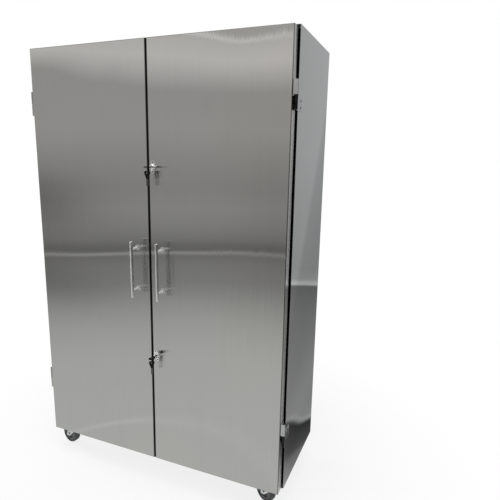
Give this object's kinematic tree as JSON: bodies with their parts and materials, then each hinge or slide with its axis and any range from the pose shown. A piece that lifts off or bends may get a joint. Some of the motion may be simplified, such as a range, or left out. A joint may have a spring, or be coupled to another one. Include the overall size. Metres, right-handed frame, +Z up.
{
  "type": "desiccator cabinet",
  "caption": "Upright stainless steel dry-storage cabinet with paired gasketed doors, cam locks, bar handles, slotted shelves, a desiccant tray and swivel casters.",
  "frame": {"origin": "on the floor under the centre of the cabinet's bounding box", "axes": "+Z up; the doors face -Y; +X is the right-hand side seen from the front"},
  "size_m": [1.2524, 0.5688, 1.945],
  "materials": {
    "sheet_steel": "fine satin grain",
    "door_steel": "satin, faintly mirror-like",
    "shelf_steel": "fine satin grain",
    "cast_hinge": "polished satin",
    "pin_steel": "ground and polished",
    "handle_steel": "polished",
    "lock_chrome": "bright plated",
    "key_steel": "nickel plated",
    "key_plastic": "fine moulded grain",
    "seal_rubber": "matt",
    "zinc_steel": "zinc plated",
    "fork_steel": "bright zinc plate",
    "hub_plastic": "moulded",
    "tyre_rubber": "matt",
    "gel_beads": "glassy beads"
  },
  "bodies": {
    "cabinet": {"side_panel_right": "sheet_steel", "side_panel_left": "sheet_steel", "top_panel": "sheet_steel", "base_panel": "sheet_steel", "back_panel": "sheet_steel", "front_frame": "sheet_steel", "shelf_uprights": "shelf_steel", "shelf_clips": "shelf_steel", "shelf_1": "shelf_steel", "shelf_2": "shelf_steel", "shelf_3": "shelf_steel", "shelf_4": "shelf_steel", "desiccant_tray": "shelf_steel", "silica_gel": "gel_beads", "tray_cover": "shelf_steel", "caster_plates": "zinc_steel", "caster_fasteners": "zinc_steel", "body_hinge_leaves": "cast_hinge", "hinge_pins": "pin_steel"},
    "left_door": {"left_door_pan": "door_steel", "left_door_liner": "door_steel", "left_door_gasket": "seal_rubber", "meeting_seal": "seal_rubber", "left_hinge_leaves": "cast_hinge", "left_handle_bar": "handle_steel", "left_handle_posts": "handle_steel", "lock_strikes": "zinc_steel", "bolt_guides": "zinc_steel"},
    "right_door": {"right_door_pan": "door_steel", "right_door_liner": "door_steel", "right_door_gasket": "seal_rubber", "right_hinge_leaves": "cast_hinge", "right_handle_bar": "handle_steel", "right_handle_posts": "handle_steel", "lock_escutcheons": "lock_chrome", "lock_housings": "lock_chrome"},
    "upper_lock": {"upper_lock_cylinder": "lock_chrome", "upper_key_blade": "key_steel", "upper_key_head": "key_plastic"},
    "upper_spare_key": {"upper_spare_blade": "key_steel", "upper_spare_head": "key_plastic"},
    "upper_slide_bolt": {"upper_slide_bolt": "zinc_steel"},
    "lower_lock": {"lower_lock_cylinder": "lock_chrome", "lower_key_blade": "key_steel", "lower_key_head": "key_plastic"},
    "lower_spare_key": {"lower_spare_blade": "key_steel", "lower_spare_head": "key_plastic"},
    "lower_slide_bolt": {"lower_slide_bolt": "zinc_steel"},
    "front_left_fork": {"front_left_fork": "fork_steel"},
    "front_left_wheel": {"front_left_hub": "hub_plastic", "front_left_tyre": "tyre_rubber"},
    "front_right_fork": {"front_right_fork": "fork_steel"},
    "front_right_wheel": {"front_right_hub": "hub_plastic", "front_right_tyre": "tyre_rubber"},
    "rear_left_fork": {"rear_left_fork": "fork_steel"},
    "rear_left_wheel": {"rear_left_hub": "hub_plastic", "rear_left_tyre": "tyre_rubber"},
    "rear_right_fork": {"rear_right_fork": "fork_steel"},
    "rear_right_wheel": {"rear_right_hub": "hub_plastic", "rear_right_tyre": "tyre_rubber"}
  },
  "joints": [
    {"name": "left_door_hinge", "type": "hinge", "parent": "cabinet", "child": "left_door", "pos_m": [-0.59077, -0.2155, 1.036], "axis": [0, 0, -1], "range_deg": [0, 180]},
    {"name": "right_door_hinge", "type": "hinge", "parent": "cabinet", "child": "right_door", "pos_m": [0.61923, -0.2155, 1.036], "axis": [0, 0, 1], "range_deg": [0, 180]},
    {"name": "upper_lock_turn", "type": "hinge", "parent": "right_door", "child": "upper_lock", "pos_m": [0.03723, -0.2275, 1.447], "axis": [0, -1, 0], "range_deg": [0, 90]},
    {"name": "upper_spare_key_swing", "type": "hinge", "parent": "upper_lock", "child": "upper_spare_key", "pos_m": [0.03253, -0.26136, 1.42373], "axis": [-0.5, 0.866, 0], "range_deg": [-40, 40]},
    {"name": "upper_bolt_slide", "type": "slide", "parent": "left_door", "child": "upper_slide_bolt", "axis": [0, 0, 1], "range_m": [0, 0.018]},
    {"name": "lower_lock_turn", "type": "hinge", "parent": "right_door", "child": "lower_lock", "pos_m": [0.03723, -0.2275, 0.641], "axis": [0, -1, 0], "range_deg": [0, 90]},
    {"name": "lower_spare_key_swing", "type": "hinge", "parent": "lower_lock", "child": "lower_spare_key", "pos_m": [0.03253, -0.26136, 0.61773], "axis": [-0.5, 0.866, 0], "range_deg": [-40, 40]},
    {"name": "lower_bolt_slide", "type": "slide", "parent": "left_door", "child": "lower_slide_bolt", "axis": [0, 0, -1], "range_m": [0, 0.018]},
    {"name": "front_left_swivel", "type": "hinge", "parent": "cabinet", "child": "front_left_fork", "pos_m": [-0.53077, -0.1355, 0.112], "axis": [0, 0, 1], "continuous": true},
    {"name": "front_left_roll", "type": "hinge", "parent": "front_left_fork", "child": "front_left_wheel", "pos_m": [-0.57508, -0.12769, 0.05], "axis": [0.1736, 0.9848, 0], "continuous": true},
    {"name": "front_right_swivel", "type": "hinge", "parent": "cabinet", "child": "front_right_fork", "pos_m": [0.55923, -0.1355, 0.112], "axis": [0, 0, 1], "continuous": true},
    {"name": "front_right_roll", "type": "hinge", "parent": "front_right_fork", "child": "front_right_wheel", "pos_m": [0.51879, -0.11577, 0.05], "axis": [0.4384, 0.8988, 0], "continuous": true},
    {"name": "rear_left_swivel", "type": "hinge", "parent": "cabinet", "child": "rear_left_fork", "pos_m": [-0.53077, 0.2365, 0.112], "axis": [0, 0, 1], "continuous": true},
    {"name": "rear_left_roll", "type": "hinge", "parent": "rear_left_fork", "child": "rear_left_wheel", "pos_m": [-0.57508, 0.24431, 0.05], "axis": [0.1736, 0.9848, 0], "continuous": true},
    {"name": "rear_right_swivel", "type": "hinge", "parent": "cabinet", "child": "rear_right_fork", "pos_m": [0.55923, 0.2365, 0.112], "axis": [0, 0, 1], "continuous": true},
    {"name": "rear_right_roll", "type": "hinge", "parent": "rear_right_fork", "child": "rear_right_wheel", "pos_m": [0.51879, 0.25623, 0.05], "axis": [0.4384, 0.8988, 0], "continuous": true}
  ]
}
